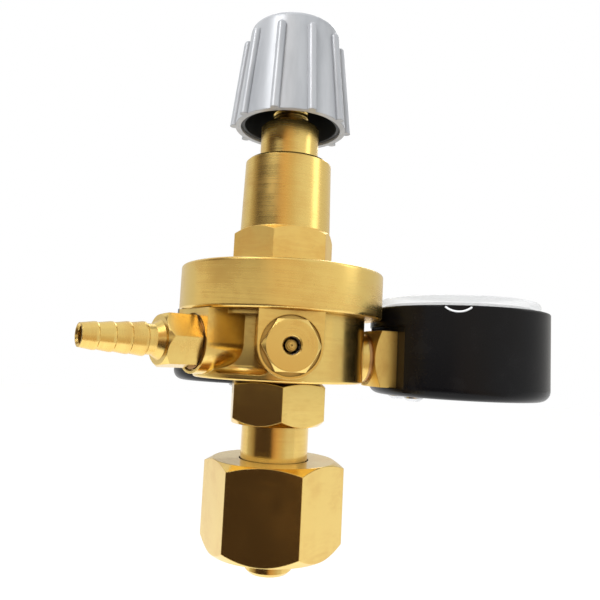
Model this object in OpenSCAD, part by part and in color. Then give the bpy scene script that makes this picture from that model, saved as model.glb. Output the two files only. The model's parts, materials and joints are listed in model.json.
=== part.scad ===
// Gas pressure regulator with two gauges, a hose barb outlet, a relief valve and a union nut inlet.
// +Z runs up the regulator's axis; the origin is the centre of the inlet's sealing face.

/* [Union nut and inlet] */
// Nut size across its flats
nut_af = 32; // [30:0.5:38]
// Height of the nut
nut_h = 22.9; // [20:0.1:30]
// Thickness of the wall at the top of the nut
nut_floor = 5.2; // [3:0.1:8]
// Radius of the nut's threaded hole
nut_thread_r = 10.3; // [9:0.1:12]
// How far the nose sticks out below the nut
nose_out = 5.5; // [2:0.1:10]
// Radius of the nose that enters the cylinder valve
nose_r = 6; // [4:0.1:7]
// Radius of the inlet stem above the nut
stem_r = 8.8; // [7:0.1:9.5]
// Bare length of stem between the nut and the stem's hex
stem_bare = 9.1; // [7:0.1:20]
// Stem hex across flats
stem_af = 23.4; // [19:0.1:28]
// Height of the stem hex
stem_hex_h = 10.8; // [6:0.1:16]
// Radius of the gas bore through the stem
gas_bore_r = 2.2; // [1:0.1:2.6]

/* [Body] */
// Radius of the forged body
body_r = 22.4; // [20:0.1:28]
// Height of the forged body below the cap
body_h = 16.8; // [16:0.1:24]
// Radius of the low pressure chamber under the diaphragm
chamber_r = 15; // [13:0.1:16]
// Height of the outlet and relief ports above the bottom of the body
port_up = 8.6; // [8:0.1:9]
// Height of the gauge ports above the bottom of the body
gauge_port_up = 6.8; // [6.6:0.1:9]
// Radius of the round port bosses
boss_r = 7.7; // [7.2:0.1:8]
// Distance from the axis to the face of the relief boss
relief_face = 25; // [24:0.1:30]
// Distance from the axis to the face of the outlet boss
outlet_face = 26; // [24:0.1:30]
// Distance that a gauge boss stands out past the body
gauge_boss_out = 1; // [0.4:0.1:3]
// Direction of the tank gauge, counterclockwise from +X seen from above
tank_angle = 12; // [0:1:20]
// Direction of the outlet gauge
outlet_gauge_angle = 102; // [95:1:120]
// Direction of the hose outlet
outlet_angle = 215; // [205:1:225]
// Direction of the relief valve
relief_angle = 276; // [270:1:285]

/* [Cap and spring housing] */
// Radius of the thick cap ring
cap_r = 26.9; // [25:0.1:32]
// Height of the cap ring
cap_h = 11.8; // [11:0.1:16]
// Housing hex across flats
bonnet_af = 24.3; // [24:0.1:30]
// Height of the housing hex
bonnet_hex_h = 10.7; // [6:0.1:14]
// Barrel radius just above the hex
barrel_base_r = 12.1; // [11.4:0.1:14]
// Barrel radius at its top
barrel_top_r = 11.65; // [11:0.1:14]
// Height of the barrel
barrel_h = 19.5; // [16:0.1:28]
// Radius of the threaded neck
neck_r = 7.9; // [6.5:0.1:9]
// Height of the threaded neck
neck_h = 10.8; // [6:0.1:13]
// Radius of the adjusting screw
screw_r = 5; // [4:0.1:6]
// Radius of the spring bore in the housing
spring_bore_r = 9.6; // [9:0.1:10]
// Wire diameter of the main spring
spring_wire = 2.2; // [1.4:0.1:2.4]

/* [Knob] */
// Outer radius of the knob at its open end, between the ribs
knob_base_r = 15.2; // [14.5:0.1:19]
// Outer radius of the knob at its top
knob_top_r = 12.1; // [11:0.1:15]
// Height of the knob
knob_h = 28; // [24:0.1:36]
// Thickness of the silver shell
knob_wall = 1.5; // [1:0.1:2]
// Thickness of the black liner
knob_liner = 1; // [0.8:0.1:1.4]
// Number of grip ribs
rib_count = 10; // [6:1:14]
// Radius of a grip rib's rounded back
rib_r = 1.15; // [0.8:0.05:1.5]
// Travel of the knob from slack to full pressure
knob_travel = 7.5; // [3:0.5:8]

/* [Relief valve and hose barb] */
// Hex size of the relief cap and of the hose barb across flats
fitting_af = 12; // [10:0.1:13]
// How far the relief cap stands out past its boss
relief_cap_out = 2.5; // [2:0.1:6]
// Radius of the relief cap's vent hole
vent_r = 2.05; // [1.5:0.05:2.4]
// Length of the hose barb's hex
barb_hex_len = 8.7; // [5:0.1:12]
// Number of hose ridges
ridge_count = 4; // [2:1:6]
// Length of one hose ridge
ridge_len = 3.68; // [2.5:0.01:5]
// Radius of the ridge nearest the hex
ridge_big_r = 4; // [3.7:0.1:4.5]
// Radius of the barb's open end
ridge_tip_r = 2.9; // [2.6:0.05:3.5]
// Radius of the hole through the barb
barb_bore_r = 2; // [1:0.1:2.2]

/* [Gauges] */
// Outer radius of a gauge case
gauge_r = 25; // [24:0.1:32]
// Height of a gauge case
gauge_h = 23.9; // [23.9:0.1:30]
// Thickness of the case wall and floor
gauge_wall = 1.6; // [1.2:0.1:1.9]
// Gap between a gauge case and the cap ring
gauge_gap = 0.4; // [0.3:0.1:6]
// Width of the square gauge shank
shank_w = 15; // [12:0.1:15.2]
// How far the lens stands above the case
lens_rise = 3; // [2:0.1:5]
// Radius of the lens above the case
lens_r = 22.5; // [21:0.1:23]
// Mean radius of the curved pressure tube
tube_r = 16; // [15.5:0.1:17]
// Needle sweep from zero to full scale in degrees
needle_sweep = 270; // [200:5:270]

/* [Hidden] */
$fn = 96;
eps = 0.02;
run_gap = 0.05;
thread_fit = 0.02;
// heights along the axis
nut_z0 = nose_out;
nut_z1 = nut_z0 + nut_h;
collar_z1 = nut_z1 - nut_floor - 0.1;
collar_h = 5.5;
nut_hole_r = stem_r + 0.3;
hex_z0 = nut_z1 + stem_bare;
washer_t = 0.6;
body_z0 = hex_z0 + stem_hex_h + washer_t;
cap_z0 = body_z0 + body_h;
cap_z1 = cap_z0 + cap_h;
port_z = body_z0 + port_up;
gauge_port_z = body_z0 + gauge_port_up;
// regulating valve
spigot_r = 8;
spigot_z1 = body_z0 + 5.1;
poppet_well_z0 = spigot_z1 - 4;
well_r = 3.2;
gallery_r = 5;
gallery_z1 = cap_z0 - 2.2;
chamber_z0 = cap_z0 + 0.3;
body_top = chamber_z0 + 3;
nozzle_r = 3.2;
orifice_r = 1.4;
nozzle_lip_z = gallery_z1 - 3;
// diaphragm stack
rubber_t = 0.8;
dish_rise = 1.7;
ring_t = 0.8;
clamp_z = body_top + rubber_t + ring_t;
dish_z1 = body_top + dish_rise + rubber_t;
plate_t = 1.4;
plate_z1 = dish_z1 + plate_t;
plate_r = 12.4;
skirt_z0 = plate_z1 + 0.5;
skirt_r = 11;
thread_cap_r = body_r - 0.4;
// spring housing
barrel_z0 = cap_z1 + bonnet_hex_h;
barrel_z1 = barrel_z0 + barrel_h;
neck_z1 = barrel_z1 + neck_h;
bore_top = barrel_z1 - 3.5;
button_r = spring_bore_r - 0.4;
button_t = 3;
button_boss = 1.2;
button_z1 = bore_top - 2;
spring_turns = 7;
spring_r = spring_bore_r - 2;
// knob
knob_z0 = neck_z1 - 1;
knob_z1 = knob_z0 + knob_h;
knob_round = 1.5;
crown_t = 2.5;
hub_r = screw_r + 2.5;
hub_z0 = neck_z1 + knob_travel + 0.5;
screw_z0 = button_z1 + button_boss;
screw_z1 = knob_z1 - crown_t - 1.5;
// bosses and ports
spot_depth = 0.8;
spot_r = fitting_af / sqrt(3) + 0.12;
fitting_thread_r = 4;
outlet_thread_r = 4.4;
drill_at = 10.5;
drill_r = 1.5;
gauge_face = body_r + gauge_boss_out;
gauge_boss_r = gauge_port_up - 0.2;
gauge_thread_r = 4.9;
gauge_thread_len = 6.5;
relief_floor = relief_face - 8.6;
relief_z0 = relief_face - spot_depth;
relief_z1 = relief_face + relief_cap_out;
// gauges
gauge_reach = cap_r + gauge_gap + gauge_r;
shank_up = 2.1 + shank_w / 2;
gauge_z0 = gauge_port_z - shank_up;
case_in_r = gauge_r - gauge_wall;
flat_u = gauge_reach - 30.6 - (cap_r - 26.9);
pocket_top = shank_up + shank_w / 2 + 1.5;
roof_t = 1.2;
plate_a = 7.4;
plate_b = 16.4;
leaf_t = 1;
dial_h = pocket_top + roof_t + 0.1;
dial_t = 0.6;
needle_h = dial_h + 1.3;
needle_t = 0.6;
block_in = gauge_r - 12.5;
seal_t = 1;
pivot_v = 8;
pinion_r = 1.2;
sector_r = 6.7;
sector_sweep = needle_sweep * pinion_r / (pivot_v - pinion_r);
tail_len = 3.6;
tail_v = pivot_v + tail_len * (1 + cos(sector_sweep / 2)) / 2;
link_stroke = 2 * tail_len * sin(sector_sweep / 2);
tube_mid = 12.4;
tube_tall = 7;
tube_thick = 1.8;
tip_u = 4.6;
tip_r = sqrt(tip_u * tip_u + tail_v * tail_v);
tip_turn = atan2(-tail_v, tip_u);
tip_half = 0.9;
tube_end = tip_turn + asin(tip_half / tube_r);
tube_span = 186 - tube_end;
link_half = 1;
gear_z = 10.6;
gauge_screw_u = gauge_r - 9.3;
gauge_screw_v = 5.6;
dial_post_u = 5.2;
dial_post_v = 4.2;

GAUGE_NODES = ["case", "lens", "dial", "needle", "pinion", "sector", "link", "tube", "tube_tip",
    "socket", "movement_plates", "hairspring", "case_screws", "dial_screws", "seal"];

brass = "#d2a43c";
brass_dark = "#a87b2a";
steel = "#b9bcc0";
black_plastic = "#17181a";
rubber = "#2a2725";

// ---- shared shapes ----

// Disc from z0 to z1 with rounded rims
module round_slab(r, z0, z1, e) {
    rotate_extrude() {
        translate([0, z0]) square([r - e, z1 - z0]);
        translate([0, z0 + e]) square([r, z1 - z0 - 2 * e]);
        for (z = [z0 + e, z1 - e]) translate([r - e, z]) circle(e, $fn = 32);
    }
}

// Turned piece from a list of [radius, height] points
module turned(points) {
    rotate_extrude() polygon(points);
}

// Hex bar from z0 to z1 with turned chamfers; low and high are the chamfer heights at the corners
module hex_bar(af, z0, z1, low, high, turn = 0) {
    corner = af / sqrt(3);
    face = af / 2 - 0.1;
    intersection() {
        rotate([0, 0, turn]) translate([0, 0, z0]) cylinder(r = corner, h = z1 - z0, $fn = 6);
        turned([[0, z0], [low > 0 ? face : corner + 1, z0], [corner + 0.01, z0 + low],
            [corner + 0.01, z1 - high], [high > 0 ? face : corner + 1, z1], [0, z1]]);
    }
}

module pipe(r_out, r_in, z0, z1) {
    difference() {
        translate([0, 0, z0]) cylinder(r = r_out, h = z1 - z0);
        translate([0, 0, z0 - 1]) cylinder(r = r_in, h = z1 - z0 + 2);
    }
}

module rod(r, z0, z1) {
    translate([0, 0, z0]) cylinder(r = r, h = z1 - z0);
}

// Places a piece modelled along +Z so that it points away from the axis in direction a at height z
module outward(a, z) {
    rotate([0, 0, a]) translate([0, 0, z]) rotate([0, 90, 0]) children();
}

// Height of a coil's centre line after t turns: closed end turns and open ones between
function coil_rise(t, n, h, w) =
    let (shut = 1.08 * w, open = (h - w - 2 * shut) / (n - 2))
    w / 2 + (t < 1 ? shut * t : t > n - 1 ? shut + open * (n - 2) + shut * (t - n + 1)
        : shut + open * (t - 1));

// Compression spring standing on z0: r is the mean coil radius, w the wire, n the turns, h the height
module coil(r, w, n, z0, h, steps = 18, sides = 8) {
    rings = n * steps;
    points = [for (i = [0:rings], k = [0:sides - 1])
        let (t = i / steps, q = 360 * k / sides, rr = r + w / 2 * cos(q))
        [rr * cos(360 * t), rr * sin(360 * t), z0 + coil_rise(t, n, h, w) + w / 2 * sin(q)]];
    walls = [for (i = [0:rings - 1], k = [0:sides - 1])
        let (a = i * sides + k, b = i * sides + (k + 1) % sides)
        each [[a, b, b + sides], [a, b + sides, a + sides]]];
    caps = [[for (k = [sides - 1:-1:0]) k], [for (k = [0:sides - 1]) rings * sides + k]];
    polyhedron(points, concat(walls, caps), convexity = 8);
}

// ---- inlet ----

module union_nut() color(brass) difference() {
    hex_bar(nut_af, nut_z0, nut_z1, 2.5, 1.5, 52.6);
    rod(nut_hole_r, nut_z0 - 1, nut_z1 + 1);
    rod(nut_thread_r, nut_z0 - 1, nut_z1 - nut_floor);
    turned([[0, nut_z0 - 0.01], [nut_thread_r + 1, nut_z0 - 0.01], [nut_thread_r, nut_z0 + 1],
        [0, nut_z0 + 1]]);
}

module inlet_stem() color(brass) difference() {
    union() {
        turned([[0, 0], [nose_r - 0.8, 0], [nose_r, 0.8], [nose_r, collar_z1 - collar_h - 2],
            [nut_thread_r - 0.4, collar_z1 - collar_h], [nut_thread_r - 0.4, collar_z1],
            [stem_r, collar_z1], [stem_r, hex_z0 + eps], [0, hex_z0 + eps]]);
        hex_bar(stem_af, hex_z0, hex_z0 + stem_hex_h, 1.6, 0.8, 36.2);
        rod(spigot_r, hex_z0 + stem_hex_h - eps, spigot_z1);
    }
    rod(gas_bore_r, -1, spigot_z1 + 1);
    rod(gas_bore_r + 1.2, -1, 5);
    rod(well_r, poppet_well_z0, spigot_z1 + 1);
}

module inlet_filter() color(steel) rod(gas_bore_r + 1.2, 0.4, 5);

module stem_washer() color(brass_dark)
    pipe(stem_af / 2 - 1.4, spigot_r, hex_z0 + stem_hex_h, body_z0);

// ---- body ----

// Boss that stands out to the given face, with straight sides up to the cap when tall
module boss(a, z, face, r, tall) {
    outward(a, z) rod(r, 8, face);
    if (tall) rotate([0, 0, a]) translate([8, -r, z]) cube([face - 8, 2 * r, cap_z0 + 1 - z]);
}

// Round-bottomed scoop of metal taken away between two bosses
module scoop(a) {
    floor_z = body_z0 + 1.5;
    scoop_r = 9.5;
    round_r = 2;
    rotate([0, 0, a]) translate([body_r + 4.6, 0, 0]) rotate_extrude() {
        translate([0, floor_z]) square([scoop_r - round_r, cap_z0 + 2 - floor_z]);
        translate([0, floor_z + round_r]) square([scoop_r, cap_z0 + 2 - floor_z - round_r]);
        translate([scoop_r - round_r, floor_z + round_r]) circle(round_r, $fn = 32);
    }
}

// Threaded hole for a fitting, its gas passage and the drilling up to the low pressure chamber
module low_port(a, z, face, thread_r, hole_floor) {
    outward(a, z) rod(thread_r, hole_floor, face + 1);
    outward(a, z) rod(drill_r, drill_at, hole_floor + 1);
    rotate([0, 0, a]) translate([drill_at, 0, 0]) rod(drill_r, z, chamber_z0 + 1);
}

module body() color(brass) difference() {
    union() {
        difference() {
            union() {
                difference() {
                    rotate([0, 0, tank_angle + 45]) round_slab(body_r, body_z0, cap_z0 + 1, 0.6);
                    scoop((relief_angle + outlet_angle) / 2);
                }
                boss(relief_angle, port_z, relief_face, boss_r, true);
                boss(outlet_angle, port_z, outlet_face, boss_r, true);
            }
            translate([0, 0, cap_z0]) cylinder(r = 2 * body_r, h = 5);
        }
        boss(tank_angle, gauge_port_z, gauge_face, gauge_boss_r, false);
        boss(outlet_gauge_angle, gauge_port_z, gauge_face, gauge_boss_r, false);
        rod(thread_cap_r, cap_z0 - 1, body_top);
    }
    rod(spigot_r, body_z0 - 1, spigot_z1);
    rod(gallery_r, spigot_z1 - 1, gallery_z1);
    rod(nozzle_r, gallery_z1 - 1, chamber_z0 + 1);
    rod(chamber_r, chamber_z0, body_top + 1);
    low_port(relief_angle, port_z, relief_face, fitting_thread_r, relief_floor);
    low_port(outlet_angle, port_z, outlet_face, outlet_thread_r, outlet_face - 9);
    low_port(outlet_gauge_angle, gauge_port_z, gauge_face, gauge_thread_r, gauge_face - gauge_thread_len);
    outward(tank_angle, gauge_port_z) rod(gauge_thread_r, gauge_face - gauge_thread_len, gauge_face + 1);
    outward(tank_angle, gauge_port_z) rod(drill_r, 3, gauge_face);
    outward(relief_angle, port_z) rod(spot_r, relief_face - spot_depth, relief_face + 1);
    outward(outlet_angle, port_z) rod(spot_r, outlet_face - spot_depth, outlet_face + 1);
}

// ---- cap, spring housing and diaphragm ----

module cap() color(brass) difference() {
    round_slab(cap_r, cap_z0, cap_z1, 0.8);
    rod(thread_cap_r + thread_fit, cap_z0 - 1, clamp_z);
    rod(chamber_r, clamp_z - 1, skirt_z0);
    rod(skirt_r + thread_fit, skirt_z0 - 1, cap_z1 + 1);
}

module spring_housing() color(brass) difference() {
    union() {
        rod(skirt_r, skirt_z0, cap_z1 + eps);
        hex_bar(bonnet_af, cap_z1, barrel_z0, 0, 1.4, 18.5);
        turned([[0, barrel_z0 - 1], [barrel_base_r, barrel_z0 - 1], [barrel_base_r, barrel_z0],
            [barrel_top_r, barrel_z1 - 0.6], [barrel_top_r - 0.6, barrel_z1], [neck_r, barrel_z1],
            [neck_r, neck_z1 - 1], [neck_r - 1, neck_z1], [0, neck_z1]]);
    }
    rod(spring_bore_r, skirt_z0 - 1, bore_top);
    rod(screw_r + run_gap, bore_top - 1, neck_z1 + 1);
}

module diaphragm() color(rubber)
    turned([[0, body_top + dish_rise], [plate_r - 0.6, body_top + dish_rise], [chamber_r - 0.4, body_top],
        [thread_cap_r, body_top], [thread_cap_r, body_top + rubber_t],
        [chamber_r, body_top + rubber_t], [plate_r, dish_z1], [0, dish_z1]]);

module slip_ring() color(steel)
    pipe(thread_cap_r, chamber_r, body_top + rubber_t, clamp_z);

module diaphragm_plate() color(brass_dark) union() {
    turned([[0, dish_z1], [plate_r - 0.4, dish_z1], [plate_r - 0.4, plate_z1 - 0.4],
        [plate_r - 0.8, plate_z1], [0, plate_z1]]);
    rod(spring_r - spring_wire / 2 - 0.6, plate_z1 - eps, plate_z1 + 1.6);
}

module main_spring() color(steel)
    coil(spring_r, spring_wire, spring_turns, plate_z1, button_z1 - button_t - plate_z1);

module spring_button() color(brass_dark) difference() {
    union() {
        turned([[0, button_z1 - button_t], [button_r - 0.4, button_z1 - button_t],
            [button_r, button_z1 - button_t + 0.4], [button_r, button_z1 - 0.4],
            [button_r - 0.4, button_z1], [0, button_z1]]);
        rod(screw_r - 0.6, button_z1 - eps, button_z1 + button_boss);
        rod(spring_r - spring_wire / 2 - 0.6, button_z1 - button_t - 1.6, button_z1 - button_t + eps);
    }
    translate([0, 0, button_z1 + button_boss + 1]) sphere(r = 2, $fn = 48);
}

module adjusting_screw() color(brass) union() {
    turned([[0, screw_z0], [screw_r - 1.2, screw_z0], [screw_r, screw_z0 + 1.2],
        [screw_r, screw_z1 - 0.8], [screw_r - 0.8, screw_z1], [0, screw_z1]]);
    translate([0, 0, button_z1 + button_boss + 1]) intersection() {
        sphere(r = 1.9, $fn = 48);
        translate([0, 0, -3]) cylinder(r = 3, h = 3);
    }
}

// ---- knob ----

// Outer radius of the knob's cone at height z, and the shell's inner radius there
function knob_cone(z) = knob_base_r + (knob_top_r - knob_base_r) * (z - knob_z0) / knob_h;
function shell_in(z) = knob_cone(z) - knob_wall;

module knob_rib() {
    lean = atan((knob_base_r - knob_top_r) / knob_h);
    rib_top = knob_z1 - 4.2;
    translate([knob_base_r + 0.3, 0, knob_z0]) rotate([0, -lean, 0])
        translate([0, 0, -2]) {
            cylinder(r = rib_r, h = rib_top - knob_z0 + 2, $fn = 32);
            translate([0, 0, rib_top - knob_z0 + 2]) sphere(r = rib_r, $fn = 32);
        }
}

module knob_shell() color("#aeb2b8") difference() {
    union() {
        rotate_extrude() {
            polygon([[0, knob_z0], [knob_base_r, knob_z0],
                [knob_cone(knob_z1 - knob_round), knob_z1 - knob_round], [0, knob_z1 - knob_round]]);
            translate([0, knob_z1 - knob_round]) square([knob_top_r - knob_round + 0.1, knob_round]);
            translate([knob_top_r - knob_round + 0.1, knob_z1 - knob_round]) circle(knob_round, $fn = 32);
        }
        for (i = [0:rib_count - 1]) rotate([0, 0, 360 / rib_count * (i + 0.05)]) knob_rib();
    }
    turned([[0, knob_z0 - 1], [shell_in(knob_z0 - 1), knob_z0 - 1],
        [shell_in(knob_z1 - crown_t), knob_z1 - crown_t], [0, knob_z1 - crown_t]]);
    translate([0, 0, knob_z0 - 6]) cylinder(r = 2 * knob_base_r, h = 6);
}

module knob_core() color(black_plastic) difference() {
    turned([[0, knob_z0 + 0.6], [shell_in(knob_z0 + 0.6) - run_gap, knob_z0 + 0.6],
        [shell_in(knob_z1 - crown_t) - run_gap, knob_z1 - crown_t], [0, knob_z1 - crown_t]]);
    difference() {
        turned([[0, knob_z0 - 1], [shell_in(knob_z0 - 1) - knob_liner, knob_z0 - 1],
            [shell_in(screw_z1) - knob_liner, screw_z1], [0, screw_z1]]);
        rod(hub_r, hub_z0, knob_z1);
    }
    rod(screw_r + thread_fit, knob_z0 - 1, screw_z1);
}

// ---- regulating valve ----

module valve_nozzle() color(brass_dark) difference() {
    union() {
        hex_bar(8.4, chamber_z0, chamber_z0 + 1.4, 0, 0.3);
        rod(nozzle_r, nozzle_lip_z + 0.6, chamber_z0 + eps);
        rod(2, nozzle_lip_z, nozzle_lip_z + 1);
    }
    rod(orifice_r, nozzle_lip_z - 1, chamber_z0 + 3);
}

module valve_poppet() color(brass) difference() {
    union() {
        rod(3, nozzle_lip_z - 4.2, nozzle_lip_z - 0.5);
        rod(1.5, spigot_z1 + 0.3 - 1, nozzle_lip_z - 4.1);
        rod(0.8, nozzle_lip_z - 2, body_top + dish_rise);
    }
    pipe(2.4, 0.8, nozzle_lip_z - 1.1, nozzle_lip_z);
}

module poppet_seat() color("white") pipe(2.4, 0.8, nozzle_lip_z - 1.1, nozzle_lip_z - 0.03);

module poppet_spring() color(steel)
    coil(2.3, 0.6, 6, poppet_well_z0, nozzle_lip_z - 4.2 - poppet_well_z0, 12, 6);

// ---- hose outlet ----

module hose_barb() color(brass) outward(outlet_angle, port_z) {
    z0 = outlet_face - spot_depth + 0.7;
    z1 = z0 + barb_hex_len;
    ridge_z = z1 + 3.6;
    step = (ridge_big_r - ridge_tip_r) / ridge_count;
    difference() {
        union() {
            hex_bar(fitting_af, z0, z1, 0.5, 1.2, 38);
            rod(outlet_thread_r, outlet_face - 8, z0 + eps);
            turned([[0, z1 - eps], [4.7, z1 - eps], [ridge_big_r - 0.35, z1 + 1.6],
                [ridge_big_r - 0.4, ridge_z + eps], [0, ridge_z + eps]]);
            for (i = [0:ridge_count - 1]) {
                r = ridge_big_r - step * i;
                turned([[0, ridge_z + ridge_len * i], [r - 0.1, ridge_z + ridge_len * i],
                    [r, ridge_z + ridge_len * i + 0.15], [r, ridge_z + ridge_len * i + 0.7],
                    [r - step - 0.2, ridge_z + ridge_len * (i + 1) + eps],
                    [0, ridge_z + ridge_len * (i + 1) + eps]]);
            }
        }
        rod(barb_bore_r, 0, ridge_z + ridge_len * ridge_count + 1);
        translate([0, 0, ridge_z + ridge_len * ridge_count - 0.4])
            cylinder(r1 = barb_bore_r, r2 = barb_bore_r + 0.5, h = 0.5);
    }
}

module barb_washer() color(brass_dark) outward(outlet_angle, port_z)
    pipe(spot_r - 0.5, outlet_thread_r, outlet_face - spot_depth, outlet_face - spot_depth + 0.7);

// ---- relief valve ----

module relief_cap() color(brass) outward(relief_angle, port_z) difference() {
    union() {
        hex_bar(fitting_af, relief_z0, relief_z1, 0, 0.9, 30);
        rod(fitting_thread_r, relief_floor + 1, relief_z0 + eps);
    }
    rod(3, 0, relief_z1 - 1.4);
    rod(vent_r, 0, relief_z1 + 1);
    translate([0, 0, relief_z1 - 0.3]) cylinder(r1 = vent_r, r2 = vent_r + 0.35, h = 0.35);
}

module relief_poppet() color(brass_dark) outward(relief_angle, port_z) difference() {
    union() {
        rod(2.7, relief_floor + 0.8, relief_floor + 2.2);
        rod(1.35, relief_floor + 2, relief_z1 - 1.9);
        rod(1, relief_z1 - 2, relief_z1 - 1.4);
        rod(0.6, relief_z1 - 1.5, relief_z1 - 1);
    }
    rod(0.25, relief_z1 - 1.3, relief_z1);
}

module relief_seal() color(rubber) outward(relief_angle, port_z)
    rod(2.5, relief_floor + 0.02, relief_floor + 0.8);

module relief_spring() color(steel) outward(relief_angle, port_z)
    coil(2.2, 0.6, 6, relief_floor + 2.2, relief_z1 - 2.2 - relief_floor - 2.2, 12, 6);

// ---- gauges: local origin at the middle of the case's underside, -X towards the regulator's axis ----

module at_gauge(a) {
    rotate([0, 0, a]) translate([gauge_reach, 0, gauge_z0]) children();
}

module gauge_case() color(black_plastic) difference() {
    union() {
        difference() {
            rotate_extrude() {
                square([gauge_r - 3, gauge_h]);
                translate([0, 3]) square([gauge_r, gauge_h - 3.5]);
                translate([gauge_r - 3, 3]) circle(3, $fn = 48);
                translate([0, 3]) square([gauge_r - 0.5, gauge_h - 3]);
                translate([gauge_r - 0.5, gauge_h - 0.5]) circle(0.5, $fn = 24);
            }
            rod(case_in_r, gauge_wall + 0.4, gauge_h + 1);
            translate([-gauge_r - 1, -gauge_r, gauge_wall + 0.4])
                cube([gauge_r + 1 - flat_u, 2 * gauge_r, pocket_top - gauge_wall - 0.4]);
        }
        intersection() {
            rod(gauge_r - 0.5, 0.5, gauge_h - 1);
            union() {
                translate([-flat_u, -gauge_r, 1]) cube([1.5, 2 * gauge_r, pocket_top + roof_t - 1]);
                translate([-gauge_r, -gauge_r, pocket_top])
                    cube([gauge_r - flat_u + 1.5, 2 * gauge_r, roof_t]);
            }
        }
    }
    translate([-flat_u - 1, -shank_w / 2 - 0.1, shank_up - shank_w / 2 - 0.1])
        cube([4, shank_w + 0.2, shank_w + 0.2]);
    for (v = [-gauge_screw_v, gauge_screw_v]) translate([-gauge_screw_u, v, 0]) rod(1.7, -1, 4);
    rotate([0, 0, -118]) translate([gauge_r - 0.9, 0, gauge_h + 3.4]) rotate([0, 90, 0])
        cylinder(r = 5.4, h = 3);
}

module gauge_lens() color("#dfe8ee", 0.35) difference() {
    rotate_extrude() {
        top = gauge_h + lens_rise;
        translate([0, dial_h + dial_t + 0.1]) square([case_in_r - 0.1, gauge_h - dial_h - dial_t - 0.2]);
        translate([0, gauge_h - 1]) square([lens_r, lens_rise + 1 - 1.2]);
        translate([0, top - 2]) square([lens_r - 1.2, 2]);
        translate([lens_r - 1.2, top - 1.2]) circle(1.2, $fn = 32);
    }
    rod(lens_r - 1.4, 0, gauge_h + lens_rise - 2);
}

module gauge_dial() color("white") difference() {
    rod(case_in_r - 0.4, dial_h, dial_h + dial_t);
    rod(1.7, 0, dial_h + 2);
    for (s = [-1, 1]) translate([s * dial_post_u, dial_post_v, 0]) rod(0.8, 0, dial_h + 2);
}

module gauge_needle() color("#202020") rotate([0, 0, needle_sweep / 2]) {
    translate([0, 0, needle_h]) linear_extrude(needle_t)
        polygon([[-6, -1.1], [0, -0.8], [16.5, -0.15], [17.5, 0], [16.5, 0.15], [0, 0.8], [-6, 1.1]]);
    rod(1.7, needle_h - 0.3, needle_h + 1);
}

// Outline of a small gear: a ring of n flat-topped teeth between angles, or all round
function tooth_ring(n, root, tip, from, span) =
    [for (i = [0:n - 1], s = [[0, root], [0.15, tip], [0.5, tip], [0.65, root]])
        let (a = from + span * (i + s[0]) / n) [s[1] * cos(a), s[1] * sin(a)]];

module gauge_pinion() color(brass) union() {
    rod(0.8, plate_a - 0.3, needle_h - 0.3);
    translate([0, 0, gear_z - 0.6]) linear_extrude(2.2)
        polygon(tooth_ring(10, pinion_r - 0.3, pinion_r - 0.05, 0, 360));
    rod(1.1, 13.2, 14.2);
}

module gauge_sector() color(brass) translate([0, -pivot_v, 0]) rotate([0, 0, 90 - sector_sweep / 2]) {
    half = sector_sweep / 2 + 7;
    translate([0, 0, gear_z]) linear_extrude(leaf_t) union() {
        polygon(concat([[0, 0]], tooth_ring(16, sector_r - 0.45, sector_r, -half, 2 * half)));
        circle(1.6);
        translate([-tail_len, -0.9]) square([tail_len, 1.8]);
        translate([-tail_len, 0]) circle(0.9);
    }
    rod(0.6, plate_a + 0.1, plate_b + leaf_t - 0.1);
    translate([-tail_len, 0, 0]) rod(0.45, gear_z + leaf_t - eps, gear_z + leaf_t + 1.1);
}

module gauge_link() color(steel) {
    u0 = -tail_len * sin(sector_sweep / 2);
    translate([0, -tail_v, gear_z + leaf_t + 0.1]) linear_extrude(0.8) difference() {
        union() {
            translate([u0, -link_half]) square([tip_u - u0, 2 * link_half]);
            for (u = [u0, tip_u]) translate([u, 0]) circle(link_half, $fn = 32);
        }
        translate([u0, 0]) circle(0.72, $fn = 32);
        translate([tip_u - link_stroke, -0.55]) square([link_stroke, 1.1]);
        for (u = [tip_u - link_stroke, tip_u]) translate([u, 0]) circle(0.55, $fn = 32);
    }
}

module tube_outline(grow) {
    w = tube_thick + 2 * grow;
    translate([tube_r - w / 2, tube_mid - (tube_tall - w) / 2]) square([w, tube_tall - w]);
    for (s = [-1, 1]) translate([tube_r, tube_mid + s * (tube_tall - w) / 2]) circle(w / 2, $fn = 24);
}

module gauge_tube() color(brass) difference() {
    rotate([0, 0, tube_end]) rotate_extrude(angle = tube_span) difference() {
        tube_outline(0);
        translate([tube_r - 0.35, tube_mid - 2.4]) square([0.7, 4.8]);
    }
    rotate([0, 0, tip_turn]) translate([tube_r - 2, -tip_half, 0]) cube([4, 2 * tip_half, pocket_top]);
}

module gauge_tube_tip() color(brass_dark) rotate([0, 0, tip_turn]) union() {
    floor_z = tube_mid - tube_tall / 2;
    translate([tube_r - 1, -tip_half, floor_z]) cube([2, 2 * tip_half, tube_tall]);
    translate([tip_r - 0.9, -tip_half, floor_z])
        cube([tube_r - tip_r, 2 * tip_half, gear_z + leaf_t - 0.1 - floor_z]);
    translate([tip_r, 0, 0]) rod(0.45, gear_z, gear_z + leaf_t + 1.1);
}

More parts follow.
